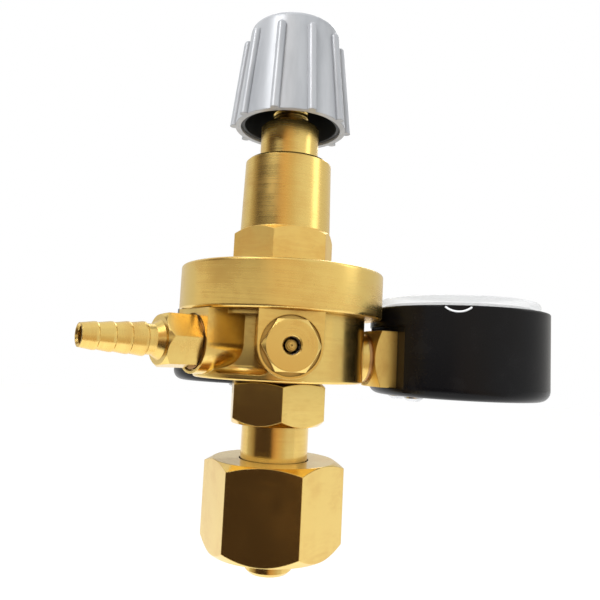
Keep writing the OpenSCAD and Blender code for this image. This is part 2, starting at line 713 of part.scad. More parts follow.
module gauge_socket() color(brass) difference() {
    union() {
        intersection() {
            translate([gauge_face + seal_t - gauge_reach, -shank_w / 2, shank_up - shank_w / 2])
                cube([gauge_reach - gauge_face - seal_t - block_in, shank_w, shank_w]);
            translate([-gauge_reach, 0, shank_up]) rotate([0, 90, 0])
                turned([[0, 0], [shank_w / 2 - 0.1, gauge_face + seal_t],
                    [shank_w * 0.75, gauge_face + seal_t + 2.2], [shank_w * 0.75, gauge_reach],
                    [0, gauge_reach]]);
        }
        translate([-block_in - eps, -6, 2.1]) cube([5.5, 12, plate_a - 2.1]);
        translate([-gauge_reach, 0, shank_up]) rotate([0, 90, 0])
            rod(gauge_thread_r, gauge_face - gauge_thread_len + 0.5, gauge_face + seal_t + eps);
    }
    rotate([0, 0, tube_end]) rotate_extrude(angle = tube_span) tube_outline(0.05);
    translate([-gauge_reach, 0, shank_up]) rotate([0, 90, 0])
        rod(1.3, gauge_face - gauge_thread_len, gauge_reach - tube_r);
    for (v = [-gauge_screw_v, gauge_screw_v]) translate([-gauge_screw_u, v, 0]) rod(1.5, 0, 6.2);
}

module gauge_movement_plates() color(brass_dark) difference() {
    union() {
        for (z = [plate_a, plate_b]) translate([0, 0, z]) linear_extrude(leaf_t) union() {
            translate([-8, -10.2]) square([16, 8.2]);
            translate([-8, -3]) square([16, 9]);
            if (z == plate_a) translate([-block_in + 0.05, -3]) square([5, 6]);
        }
        for (p = [[-6.8, -8.8], [6.8, -8.8], [0, 4.6]])
            translate([p[0], p[1], 0]) rod(1, plate_a + eps, plate_b + eps);
        for (s = [-1, 1]) translate([s * dial_post_u, dial_post_v, 0])
            rod(1.4, plate_b + eps, dial_h);
    }
    rod(0.85, 0, gauge_h);
    translate([0, -pivot_v, 0]) rod(0.65, 0, gauge_h);
    for (s = [-1, 1]) translate([s * dial_post_u, dial_post_v, 0]) rod(0.7, plate_b, dial_h + 1);
}

// Point of the hairspring's centre line after t turns
function hair_point(t, off) =
    let (r = 1.35 + 0.66 * t + off) [r * cos(360 * t), r * sin(360 * t)];

module gauge_hairspring() color(steel) {
    turns = 3.25;
    steps = 78;
    translate([0, 0, 13.5]) linear_extrude(0.5) polygon(concat(
        [for (i = [0:steps]) hair_point(turns * i / steps, 0.1)],
        [for (i = [steps:-1:0]) hair_point(turns * i / steps, -0.1)]));
    translate([-0.3, 3.2, 13.3]) cube([0.6, 0.38, 0.9]);
}

module gauge_case_screws() color(steel)
    for (v = [-gauge_screw_v, gauge_screw_v]) translate([-gauge_screw_u, v, 0]) difference() {
        union() {
            turned([[0, -1.3], [1.6, -1.3], [2.5, -0.6], [2.5, 0], [0, 0]]);
            rod(1.5, -eps, 6);
        }
        for (q = [0, 90]) rotate([0, 0, q]) translate([-1.4, -0.25, -2]) cube([2.8, 0.5, 1.2]);
    }

module gauge_dial_screws() color(steel)
    for (s = [-1, 1]) translate([s * dial_post_u, dial_post_v, 0]) difference() {
        union() {
            rod(0.7, plate_b + 0.5, dial_h + dial_t + eps);
            rod(1.2, dial_h + dial_t, dial_h + dial_t + 0.5);
        }
        translate([-1.5, -0.15, dial_h + dial_t + 0.25]) cube([3, 0.3, 1]);
    }

module gauge_seal() color(brass_dark)
    translate([-gauge_reach, 0, shank_up]) rotate([0, 90, 0])
        pipe(6.5, gauge_thread_r, gauge_face, gauge_face + seal_t);

module gauge_piece(name) {
    if (name == "case") gauge_case();
    if (name == "lens") gauge_lens();
    if (name == "dial") gauge_dial();
    if (name == "needle") gauge_needle();
    if (name == "pinion") gauge_pinion();
    if (name == "sector") gauge_sector();
    if (name == "link") gauge_link();
    if (name == "tube") gauge_tube();
    if (name == "tube_tip") gauge_tube_tip();
    if (name == "socket") gauge_socket();
    if (name == "movement_plates") gauge_movement_plates();
    if (name == "hairspring") gauge_hairspring();
    if (name == "case_screws") gauge_case_screws();
    if (name == "dial_screws") gauge_dial_screws();
    if (name == "seal") gauge_seal();
}

body();
cap();
spring_housing();
main_spring();
spring_button();
adjusting_screw();
knob_shell();
knob_core();
diaphragm();
slip_ring();
diaphragm_plate();
valve_nozzle();
valve_poppet();
poppet_seat();
poppet_spring();
inlet_stem();
stem_washer();
inlet_filter();
union_nut();
hose_barb();
barb_washer();
relief_cap();
relief_spring();
relief_poppet();
relief_seal();
for (n = GAUGE_NODES) at_gauge(tank_angle) gauge_piece(n);
for (n = GAUGE_NODES)
    at_gauge(outlet_gauge_angle) gauge_piece(n);
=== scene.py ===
"""Finishes, threads and dials of a brass gas pressure regulator, built around its CAD frame."""

import json
import logging
import math
from dataclasses import dataclass, field
from enum import Enum
from typing import ClassVar, Optional, Protocol, Union

import bpy
from mathutils import Matrix, Vector

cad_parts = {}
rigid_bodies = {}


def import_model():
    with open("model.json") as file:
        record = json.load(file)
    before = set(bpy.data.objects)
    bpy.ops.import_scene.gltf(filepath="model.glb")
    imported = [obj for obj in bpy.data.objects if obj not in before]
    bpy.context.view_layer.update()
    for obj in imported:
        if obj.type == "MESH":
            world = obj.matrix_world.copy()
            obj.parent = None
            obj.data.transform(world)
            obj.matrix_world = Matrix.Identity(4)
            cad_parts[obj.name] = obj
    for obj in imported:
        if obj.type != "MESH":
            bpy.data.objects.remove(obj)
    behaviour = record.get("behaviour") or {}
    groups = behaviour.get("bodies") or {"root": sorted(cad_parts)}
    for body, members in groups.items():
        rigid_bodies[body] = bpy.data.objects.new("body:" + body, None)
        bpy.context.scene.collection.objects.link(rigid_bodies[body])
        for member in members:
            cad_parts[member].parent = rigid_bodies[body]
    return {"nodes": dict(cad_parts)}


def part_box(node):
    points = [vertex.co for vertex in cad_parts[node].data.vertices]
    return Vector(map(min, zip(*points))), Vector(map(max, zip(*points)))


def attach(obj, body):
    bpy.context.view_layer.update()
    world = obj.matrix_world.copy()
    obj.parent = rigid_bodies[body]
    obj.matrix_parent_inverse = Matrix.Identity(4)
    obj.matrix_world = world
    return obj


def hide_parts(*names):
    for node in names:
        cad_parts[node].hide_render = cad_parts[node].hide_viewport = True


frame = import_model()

LOG = logging.getLogger("regulator")
MM = 0.001
Colour = tuple[float, float, float, float]
Value = Union["Sock", float, int, bool, tuple, str]


# ---------------------------------------------------------------- node helpers


class Sock:
    """A node output that takes part in Python arithmetic, adding Math nodes as it goes."""

    def __init__(self, graph: "Graph", socket: Optional[bpy.types.NodeSocket]) -> None:
        """Keeps the graph and the output socket it stands for, if the node has one."""
        self.graph = graph
        self.socket = socket

    def _math(self, operation: str, a: Value, b: Value) -> "Sock":
        """Adds a Math node for a two-value operation."""
        return self.graph.node("ShaderNodeMath", {"operation": operation}, {0: a, 1: b})

    def __add__(self, other: Value) -> "Sock":
        """Sum."""
        return self._math("ADD", self, other)

    def __radd__(self, other: Value) -> "Sock":
        """Sum, with this value on the right."""
        return self._math("ADD", other, self)

    def __sub__(self, other: Value) -> "Sock":
        """Difference."""
        return self._math("SUBTRACT", self, other)

    def __rsub__(self, other: Value) -> "Sock":
        """Difference, with this value on the right."""
        return self._math("SUBTRACT", other, self)

    def __mul__(self, other: Value) -> "Sock":
        """Product."""
        return self._math("MULTIPLY", self, other)

    def __rmul__(self, other: Value) -> "Sock":
        """Product, with this value on the right."""
        return self._math("MULTIPLY", other, self)

    def __truediv__(self, other: Value) -> "Sock":
        """Quotient."""
        return self._math("DIVIDE", self, other)

    def __pow__(self, other: Value) -> "Sock":
        """Power."""
        return self._math("POWER", self, other)

    def fraction(self) -> "Sock":
        """Part after the decimal point."""
        return self._math("FRACT", self, 0.0)

    def absolute(self) -> "Sock":
        """Size without sign."""
        return self._math("ABSOLUTE", self, 0.0)

    def over(self, limit: Value) -> "Sock":
        """1 where this is greater than the limit, else 0."""
        return self._math("GREATER_THAN", self, limit)

    def least(self, other: Value) -> "Sock":
        """The smaller of the two."""
        return self._math("MINIMUM", self, other)

    def most(self, other: Value) -> "Sock":
        """The larger of the two."""
        return self._math("MAXIMUM", self, other)

    def sine(self) -> "Sock":
        """Sine of an angle in radians."""
        return self._math("SINE", self, 0.0)

    def cosine(self) -> "Sock":
        """Cosine of an angle in radians."""
        return self._math("COSINE", self, 0.0)

    def ease(self, low: float, high: float) -> "Sock":
        """Smooth step from 0 at low to 1 at high."""
        settings = {"interpolation_type": "SMOOTHSTEP"}
        return self.graph.node("ShaderNodeMapRange", settings, {0: self, 1: low, 2: high})


class Graph:
    """A node tree that is filled through one generic call."""

    def __init__(self, tree: bpy.types.NodeTree) -> None:
        """Wraps a shader or geometry node tree."""
        self.tree = tree

    def node(self, kind: str, settings: Optional[dict] = None, inputs: Optional[dict] = None,
             out: Union[int, str] = 0) -> Sock:
        """Adds a node.

        Args:
            kind: the node's type name.
            settings: properties set before its sockets; "stops" fills a colour ramp.
            inputs: values or links by socket name or index.
            out: which output is returned.

        Returns:
            The chosen output.
        """
        made = self.tree.nodes.new(kind)
        for key, value in (settings or {}).items():
            if key == "stops":
                self._stops(made.color_ramp, value)
            else:
                setattr(made, key, value)
        for key, value in (inputs or {}).items():
            if isinstance(value, Sock):
                self.tree.links.new(value.socket, made.inputs[key])
            else:
                made.inputs[key].default_value = value
        return Sock(self, made.outputs[out] if made.outputs else None)

    @staticmethod
    def _stops(ramp: bpy.types.ColorRamp, stops: list[tuple[float, Colour]]) -> None:
        """Sets a colour ramp's stops.

        Args:
            ramp: the ramp to fill.
            stops: places from 0 to 1 with their colours, in order.
        """
        while len(ramp.elements) < len(stops):
            ramp.elements.new(1.0)
        for element, (place, colour) in zip(ramp.elements, stops):
            element.position = place
            element.color = colour

    def vector(self, operation: str, a: Value, b: Value = (0.0, 0.0, 0.0),
               out: Union[int, str] = 0) -> Sock:
        """Adds a Vector Math node and returns one of its outputs."""
        return self.node("ShaderNodeVectorMath", {"operation": operation}, {0: a, 1: b}, out)

    def scaled(self, a: Value, scale: Value) -> Sock:
        """A vector times a number."""
        return self.node("ShaderNodeVectorMath", {"operation": "SCALE"}, {0: a, "Scale": scale})

    def combine(self, x: Value, y: Value, z: Value) -> Sock:
        """A vector from three numbers."""
        return self.node("ShaderNodeCombineXYZ", {}, {0: x, 1: y, 2: z})

    def blend(self, amount: Value, a: Value, b: Value) -> Sock:
        """Mixes two colours."""
        return self.node("ShaderNodeMix", {"data_type": "RGBA"}, {0: amount, 6: a, 7: b}, 2)

    def openness(self, reach: float) -> Sock:
        """1 on open ground, less in corners within a reach in metres."""
        return self.node("ShaderNodeAmbientOcclusion", {"samples": 4}, {"Distance": reach}, "AO")

    def noise(self, where: Value, scale: float, detail: float = 3.0, rough: float = 0.5) -> Sock:
        """Smooth noise from 0 to 1."""
        values = {"Vector": where, "Scale": scale, "Detail": detail, "Roughness": rough}
        return self.node("ShaderNodeTexNoise", {}, values)


# ---------------------------------------------------------------- finishes


class Finish(Protocol):
    """Anything that can make a material."""

    name: str

    def material(self) -> bpy.types.Material:
        """Returns the finished material."""


def add_object(name: str, data: bpy.types.ID) -> bpy.types.Object:
    """Makes an object from its data and links it to the scene.

    Args:
        name: the object's name.
        data: a mesh, curve, camera or light.

    Returns:
        The new object.
    """
    made = bpy.data.objects.new(name, data)
    bpy.context.scene.collection.objects.link(made)
    return made


def empty_graph(owner: Union[bpy.types.Material, bpy.types.World]) -> Graph:
    """Turns a material's or world's nodes on and empties them.

    Args:
        owner: the material or world.

    Returns:
        Its graph, with no node in it.
    """
    owner.use_nodes = True
    owner.node_tree.nodes.clear()
    return Graph(owner.node_tree)


def new_material(name: str) -> tuple[bpy.types.Material, Graph, bpy.types.Node]:
    """Makes a node material with its Principled shader linked to the output.

    Args:
        name: the material's name.

    Returns:
        The material, its graph and the shader node.
    """
    made = bpy.data.materials.new(name)
    graph = empty_graph(made)
    shader = graph.node("ShaderNodeBsdfPrincipled")
    graph.node("ShaderNodeOutputMaterial", {}, {"Surface": shader})
    return made, graph, shader.socket.node


def drive(graph: Graph, shader: bpy.types.Node, **values: Value) -> None:
    """Sets or links a shader's sockets.

    Args:
        graph: the material's graph.
        shader: the shader node.
        values: numbers, colours or links by socket name, with underscores for spaces.
    """
    for key, value in values.items():
        socket = shader.inputs[key.replace("_", " ")]
        if isinstance(value, Sock):
            graph.tree.links.new(value.socket, socket)
        else:
            socket.default_value = value


def soft_edge(graph: Graph, radius_mm: float) -> Sock:
    """Normal that rounds edges over a small radius."""
    return graph.node("ShaderNodeBevel", {"samples": 4}, {"Radius": radius_mm * MM})


def bump(graph: Graph, height: Value, depth_mm: float, normal: Sock) -> Sock:
    """Normal raised by a height over the given depth."""
    values = {"Strength": 1.0, "Distance": depth_mm * MM, "Height": height, "Normal": normal}
    return graph.node("ShaderNodeBump", {}, values)


def lathe_field(graph: Graph, place: Sock, azimuth: Optional[float],
                height: float) -> tuple[Sock, Sock]:
    """Distances along and from a turning axis.

    Args:
        graph: the material's graph.
        place: object coordinates.
        azimuth: direction of a level axis in degrees, or None for the upright one.
        height: height of a level axis in metres.

    Returns:
        The distance along the axis and the distance from it.
    """
    if azimuth is None:
        axis = (0.0, 0.0, 1.0)
    else:
        axis = (math.cos(math.radians(azimuth)), math.sin(math.radians(azimuth)), 0.0)
    local = graph.vector("SUBTRACT", place, (0.0, 0.0, height))
    along = graph.vector("DOT_PRODUCT", local, axis, "Value")
    across = graph.vector("SUBTRACT", local, graph.scaled(axis, along))
    return along, graph.vector("LENGTH", across, out="Value")


@dataclass(frozen=True)
class Brass:
    """Bare machined brass: lathe lines round an axis, blotches of tarnish, painted shade in the
    corners.

    azimuth and height give a level turning axis, reach is how far the painted corner shade
    spreads from a corner, and below satin_below, measured along the axis, the surface is duller.
    """

    name: str
    azimuth: Optional[float] = None
    height: float = 0.0
    rough: float = 0.26
    lines: float = 1.0
    tarnish: float = 1.0
    reach: float = 2.5 * MM
    satin_below: float = 0.0
    tone: Colour = (0.83, 0.60, 0.19, 1.0)

    LINES_SCALE: ClassVar[float] = 5200.0
    TARNISHED: ClassVar[Colour] = (0.70, 0.42, 0.115, 1.0)
    SPOT: ClassVar[Colour] = (0.36, 0.21, 0.07, 1.0)
    # Painted shade: the dark brown laid into corners and recesses where the occlusion node finds
    # other surfaces close by.
    DIRT: ClassVar[Colour] = (0.14, 0.085, 0.035, 1.0)
    LINE: ClassVar[Colour] = (0.62, 0.40, 0.12, 1.0)

    def material(self) -> bpy.types.Material:
        """Mixes tone, tarnish, spots and painted shade in the corners, and lays lathe lines over
        them.

        Returns:
            The brass with this piece's own turning axis and polish.
        """
        made, graph, shader = new_material(self.name)
        place = graph.node("ShaderNodeTexCoord", out="Object")
        along, radius = lathe_field(graph, place, self.azimuth, self.height)
        rings = graph.combine(along * self.LINES_SCALE, radius * self.LINES_SCALE, 0.0)
        fine = graph.noise(graph.vector("ADD", rings, graph.scaled(place, 90)), 1.0, 3, 0.6)
        bands = graph.vector("ADD", graph.scaled(rings, 0.24), graph.scaled(place, 60))
        wide = graph.noise(bands, 1.0, 2)
        blotch = graph.noise(place, 95, 3, 0.55)
        speck = graph.noise(place, 1300, 3, 0.65)
        stain = (blotch * 0.75 + wide * 0.25).ease(0.42, 0.66) * self.tarnish
        warm = graph.blend(stain * 0.55, self.tone, self.TARNISHED)
        dots = speck.ease(0.64, 0.78) * 0.35 * self.tarnish
        spotted = graph.blend(dots, warm, self.SPOT)
        # Painted shade: the colour darkens towards a dark brown where the occlusion node finds
        # other surfaces close by; the same mask also roughens those corners.
        corner_shade = (1 - graph.openness(self.reach).ease(0.12, 0.75)) * 0.7
        corner_shaded = graph.blend(corner_shade, spotted, self.DIRT)
        colour = graph.blend((fine - 0.5).absolute() * 0.5 * self.lines, corner_shaded, self.LINE)
        satin = 1 - along.ease(self.satin_below - 0.1 * MM, self.satin_below + 0.1 * MM)
        rough = (self.rough + (fine - 0.5) * 0.16 * self.lines + stain * 0.07 + corner_shade * 0.2
                 + satin * 0.2).most(0.06)
        height = fine * 0.7 * self.lines + wide * 0.5 * self.lines + speck * 0.16
        normal = bump(graph, height, 0.003, soft_edge(graph, 0.28))
        drive(graph, shader, Base_Color=colour, Metallic=1.0, Roughness=rough, Normal=normal)
        return made


@dataclass(frozen=True)
class Metal:
    """Plain metal other than bare brass, with drawn lines and small marks."""

    name: str
    tone: Colour
    rough: float = 0.28
    grain: float = 900.0

    def material(self) -> bpy.types.Material:
        """Draws lines along the grain and puts small marks on them.

        Returns:
            The metal.
        """
        made, graph, shader = new_material(self.name)
        place = graph.node("ShaderNodeTexCoord", out="Object")
        stretch = (self.grain, self.grain, 4 * self.grain)
        drawn = graph.noise(graph.vector("MULTIPLY", place, stretch), 1.0, 3)
        marks = graph.noise(place, self.grain * 0.6, 4, 0.65)
        dark = tuple(0.55 * c for c in self.tone[:3]) + (1.0,)
        colour = graph.blend(marks.ease(0.5, 0.75) * 0.6, self.tone, dark)
        normal = bump(graph, drawn * 0.6 + marks * 0.4, 0.008, soft_edge(graph, 0.1))
        rough = (self.rough + (drawn - 0.5) * 0.2).most(0.08)
        drive(graph, shader, Base_Color=colour, Metallic=1.0, Roughness=rough, Normal=normal)
        return made


@dataclass(frozen=True)
class SilverPlastic:
    """Silver-coloured moulded plastic with soft flow lines."""

    name: str = "knob_silver"

    PALE: ClassVar[Colour] = (0.40, 0.415, 0.44, 1.0)
    DEEP: ClassVar[Colour] = (0.29, 0.305, 0.33, 1.0)
    # Painted shade: the near-black grey laid into the knob's corners.
    CORNER: ClassVar[Colour] = (0.12, 0.125, 0.14, 1.0)

    def material(self) -> bpy.types.Material:
        """Clouds the silver with upright flow lines and darkens its corners with painted shade.

        Returns:
            The knob's silver plastic.
        """
        made, graph, shader = new_material(self.name)
        place = graph.node("ShaderNodeTexCoord", out="Object")
        flow = graph.noise(graph.vector("MULTIPLY", place, (260.0, 260.0, 45.0)), 1.0, 3, 0.55)
        grain = graph.noise(place, 4200, 2, 0.6)
        dull = graph.noise(place, 140, 3)
        tint = graph.blend(flow.ease(0.35, 0.7) * 0.55, self.PALE, self.DEEP)
        # Painted shade: the corners darken towards a near-black grey where the occlusion node
        # finds other surfaces close by.
        shade = (1 - graph.openness(2.0 * MM).ease(0.15, 0.85)) * 0.6
        colour = graph.blend(shade, tint, self.CORNER)
        rough = 0.30 + (flow - 0.5) * 0.14 + dull * 0.08
        normal = bump(graph, flow * 0.8 + grain * 0.12, 0.03, soft_edge(graph, 0.35))
        drive(graph, shader, Base_Color=colour, Metallic=0.12, Roughness=rough, Normal=normal)
        drive(graph, shader, Coat_Weight=0.15, Coat_Roughness=0.15)
        return made


@dataclass(frozen=True)
class Plastic:
    """Moulded plastic, rubber or paint with a fine surface and a little dust."""

    name: str
    tone: Colour
    rough: float = 0.2
    shine: float = 0.5
    grain: float = 2500.0
    depth: float = 0.008

    def material(self) -> bpy.types.Material:
        """Gives the tone a fine skin and a little pale dust.

        Returns:
            The plastic.
        """
        made, graph, shader = new_material(self.name)
        place = graph.node("ShaderNodeTexCoord", out="Object")
        skin = graph.noise(place, self.grain, 3, 0.6)
        cloud = graph.noise(place, self.grain * 0.06, 4, 0.55)
        pale = tuple(c * 1.2 + 0.003 for c in self.tone[:3]) + (1.0,)
        colour = graph.blend(cloud.ease(0.48, 0.8) * 0.6, self.tone, pale)
        normal = bump(graph, skin * 0.8 + cloud * 0.2, self.depth * 0.3, soft_edge(graph, 0.3))
        rough = self.rough + cloud.ease(0.4, 0.8) * 0.04
        drive(graph, shader, Base_Color=colour, Metallic=0.0, Roughness=rough, Normal=normal)
        drive(graph, shader, Specular_IOR_Level=self.shine)
        return made


@dataclass(frozen=True)
class ClearPlastic:
    """Clear moulded lens: see-through when looked at squarely, with a painted pale sheen where it
    is seen at a flat angle.
    """

    name: str = "lens_clear"

    def material(self) -> bpy.types.Material:
        """Makes the lens clear where it is seen squarely and paints a pale sheen on it at a flat
        angle.

        Returns:
            The lens plastic.
        """
        made, graph, shader = new_material(self.name)
        place = graph.node("ShaderNodeTexCoord", out="Object")
        haze = graph.noise(place, 350, 3)
        # Painted sheen: the lens turns pale and more opaque the flatter the angle it is seen at,
        # standing in for its reflection.
        facing = graph.node("ShaderNodeLayerWeight", {}, {"Blend": 0.35}, "Facing")
        alpha = 0.035 + facing ** 1.8 * 0.6 + haze.ease(0.55, 0.8) * 0.02
        colour = graph.blend(facing, (0.90, 0.92, 0.94, 1.0), (0.68, 0.71, 0.75, 1.0))
        normal = bump(graph, haze, 0.01, soft_edge(graph, 0.3))
        rough = 0.04 + haze * 0.03
        drive(graph, shader, Base_Color=colour, Alpha=alpha, Metallic=0.0, Roughness=rough)
        drive(graph, shader, Normal=normal, IOR=1.49)
        drive(graph, shader, Specular_IOR_Level=0.5, Coat_Weight=0.3, Coat_Roughness=0.02)
        return made


class Palette(Enum):
    """The finishes of the regulator's pieces."""

    CAP = Brass("brass_cap", rough=0.24, lines=0.8)
    # The body's painted corner shade reaches 7 mm from a corner.
    BODY = Brass("brass_body", rough=0.18, lines=0.5, reach=7 * MM)
    HOUSING = Brass("brass_housing", rough=0.25, lines=0.9, satin_below=88.2 * MM)
    STEM = Brass("brass_stem", rough=0.16, lines=0.5, tarnish=0.8)
    NUT = Brass("brass_nut", rough=0.15, lines=0.55, tarnish=0.8)
    BARB = Brass("brass_barb", azimuth=215.0, height=57.5 * MM, rough=0.22, lines=0.9)
    RELIEF = Brass("brass_relief", azimuth=276.0, height=57.5 * MM, rough=0.24, lines=0.8)
    TANK_SHANK = Brass("brass_tank_shank", azimuth=12.0, height=55.7 * MM, rough=0.42,
                       lines=0.6)
    OUTLET_SHANK = Brass("brass_outlet_shank", azimuth=102.0, height=55.7 * MM, rough=0.2,
                         lines=0.5)
    INNER = Brass("brass_inner", rough=0.3, lines=0.8, tone=(0.72, 0.5, 0.17, 1.0))
    BRONZE = Metal("bronze_tube", (0.66, 0.42, 0.2, 1.0))
    COPPER = Metal("copper_washer", (0.46, 0.27, 0.12, 1.0), rough=0.34)
    SINTERED = Metal("bronze_sintered", (0.5, 0.33, 0.16, 1.0), rough=0.6, grain=3000.0)
    STEEL = Metal("steel_bright", (0.66, 0.67, 0.69, 1.0))
    SPRING = Metal("steel_spring", (0.33, 0.34, 0.36, 1.0), rough=0.32)
    SILVER = SilverPlastic()
    BLACK = Plastic("case_black", (0.004, 0.004, 0.005, 1.0), rough=0.25, shine=0.16)
    LINER = Plastic("liner_black", (0.012, 0.014, 0.016, 1.0), rough=0.45)
    RUBBER = Plastic("rubber_black", (0.02, 0.02, 0.02, 1.0), rough=0.65, depth=0.03)
    SEAT = Plastic("seat_white", (0.78, 0.78, 0.75, 1.0), rough=0.4)
    DIAL = Plastic("dial_white", (0.84, 0.84, 0.81, 1.0), rough=0.42)
    # Painted highlight: a pale glossy plastic for the crescent that stands in for the glint in a
    # gauge case's notch.
    TAB = Plastic("glint_white", (0.82, 0.84, 0.87, 1.0), rough=0.12)
    INK = Plastic("ink_black", (0.014, 0.014, 0.015, 1.0), rough=0.4)
    LENS = ClearPlastic()


class Paints:
    """Makes each finish once and puts it on objects."""

    def __init__(self) -> None:
        """Starts with no material made."""
        self.made: dict[Palette, bpy.types.Material] = {}

    def get(self, choice: Palette) -> bpy.types.Material:
        """Finds the material of a finish, and makes it the first time.

        Args:
            choice: the finish.

        Returns:
            The material.
        """
        if choice not in self.made:
            finish: Finish = choice.value
            self.made[choice] = finish.material()
        return self.made[choice]

    def dress(self, piece: bpy.types.Object, choice: Palette) -> None:
        """Gives a whole object one finish."""
        piece.data.materials.clear()
        piece.data.materials.append(self.get(choice))


# ---------------------------------------------------------------- geometry trees


class GeoTree:
    """A geometry node tree with named size inputs, which makes one plain mesh."""

    def __init__(self, name: str, sizes: dict[str, float]) -> None:
        """Starts the tree and its inputs.

        Args:
            name: name of the tree and of its piece.
            sizes: value in metres, radians or turns of each named input.
        """
        self.name = name
        self.tree = bpy.data.node_groups.new(name, "GeometryNodeTree")
        self.graph = Graph(self.tree)
        face = self.tree.interface
        for way in ("INPUT", "OUTPUT"):
            face.new_socket("Geometry", in_out=way, socket_type="NodeSocketGeometry")
        self.ids: dict[str, str] = {}
        for key in sizes:
            made = face.new_socket(key, in_out="INPUT", socket_type="NodeSocketFloat")
            self.ids[key] = made.identifier
        self.source = self.tree.nodes.new("NodeGroupInput")
        self.sizes = sizes

    def size(self, key: str) -> Sock:
        """A named input."""
        return Sock(self.graph, self.source.outputs[key])

    def make(self, geometry: Sock, material: bpy.types.Material) -> bpy.types.Object:
        """Ends the tree, runs it once and returns a plain mesh object.

        Args:
            geometry: the tree's last geometry.
            material: the finish of the piece.

        Returns:
            A mesh object at the origin with no modifier.
        """
        real = self.graph.node("GeometryNodeRealizeInstances", {}, {0: geometry})
        values = {"Geometry": real, "Material": material}
        painted = self.graph.node("GeometryNodeSetMaterial", {}, values)
        sink = self.tree.nodes.new("NodeGroupOutput")
        self.tree.links.new(painted.socket, sink.inputs[0])
        seed = add_object(self.name + "_seed", bpy.data.meshes.new(self.name + "_seed"))
        modifier = seed.modifiers.new("made", "NODES")
        modifier.node_group = self.tree
        for key, value in self.sizes.items():
            modifier[self.ids[key]] = float(value)
        bpy.context.view_layer.update()
        shown = seed.evaluated_get(bpy.context.evaluated_depsgraph_get())
        mesh = bpy.data.meshes.new_from_object(shown)
        bpy.data.objects.remove(seed)
        mesh.name = self.name
        if not mesh.materials:
            mesh.materials.append(material)
        return add_object(self.name, mesh)


@dataclass
class ThreadedRod:
    """A closed rod with a helical thread, standing on the axis."""

    name: str
    low: float
    high: float
    crest: float
    root: float
    pitch: float
    around: int = 72
    rows_per_turn: int = 10
    chamfer: float = 0.3 * MM

    def build(self, material: bpy.types.Material) -> bpy.types.Object:
        """Rolls a grid into the rod and sinks the thread's groove into it.

        The grid's first and last rows fall on the axis, which closes the two ends.

        Args:
            material: the finish of the rod.

        Returns:
            The rod.
        """
        sizes = {"Low": self.low, "High": self.high, "Crest": self.crest, "Root": self.root,
                 "Pitch": self.pitch}
        geo = GeoTree(self.name, sizes)
        graph = geo.graph
        rows = int(self.rows_per_turn * (self.high - self.low) / self.pitch) + 4
        values = {"Size X": 1.0, "Size Y": 1.0, "Vertices X": self.around + 1,
                  "Vertices Y": rows}
        grid = graph.node("GeometryNodeMeshGrid", {}, values)
        spot = graph.node("GeometryNodeInputPosition")
        across = graph.node("ShaderNodeSeparateXYZ", {}, {0: spot}, 0) + 0.5
        up = (graph.node("ShaderNodeSeparateXYZ", {}, {0: spot}, 1) + 0.5) * (rows - 1)
        share = ((up - 1) / (rows - 3)).most(0.0).least(1.0)
        z = geo.size("Low") + (geo.size("High") - geo.size("Low")) * share
        wave = ((z / geo.size("Pitch") - across).fraction() - 0.5).absolute() * 2
        depth = wave.ease(0.25, 0.8)
        cut = geo.size("Crest") - (geo.size("Crest") - geo.size("Root")) * depth
        end = (z - geo.size("Low")).least(geo.size("High") - z)
        bevel = geo.size("Root") + end - self.chamfer
        shut = up.over(0.5) * ((rows - 1.5) - up).over(0.0)
        radius = cut.least(bevel) * shut
        turn = across * (2 * math.pi)
        where = graph.combine(radius * turn.cosine(), radius * turn.sine(), z)
        moved = graph.node("GeometryNodeSetPosition", {}, {"Geometry": grid, "Position": where})
        values = {"Geometry": moved, "Distance": 0.001 * MM}
        joined = graph.node("GeometryNodeMergeByDistance", {}, values)
        smooth = graph.node("GeometryNodeSetShadeSmooth", {}, {0: joined})
        return geo.make(smooth, material)


@dataclass
class ThreadRidge:
    """A helical ridge that lines a threaded hole."""

    name: str
    low: float
    high: float
    radius: float
    ridge: float
    pitch: float

    def build(self, material: bpy.types.Material) -> bpy.types.Object:
        """Sweeps a small square along a spiral.

        Args:
            material: the finish of the ridge.

        Returns:
            The ridge, closed at both ends.
        """
        turns = (self.high - self.low) / self.pitch
        geo = GeoTree(self.name, {"Radius": self.radius, "Height": self.high - self.low,
                                  "Turns": turns, "Ridge": self.ridge, "Low": self.low})
        graph = geo.graph
        values = {"Resolution": 48, "Rotations": geo.size("Turns"), "Height": geo.size("Height"),
                  "Start Radius": geo.size("Radius"), "End Radius": geo.size("Radius")}
        spiral = graph.node("GeometryNodeCurveSpiral", {}, values)
        ring = {"Resolution": 4, "Radius": geo.size("Ridge")}
        section = graph.node("GeometryNodeCurvePrimitiveCircle", {}, ring)
        values = {"Curve": spiral, "Profile Curve": section, "Fill Caps": True}
        swept = graph.node("GeometryNodeCurveToMesh", {}, values)
        values = {"Geometry": swept, "Translation": graph.combine(0.0, 0.0, geo.size("Low"))}
        lifted = graph.node("GeometryNodeTransform", {}, values)
        flat = graph.node("GeometryNodeSetShadeSmooth", {}, {0: lifted, "Shade Smooth": False})
        return geo.make(flat, material)


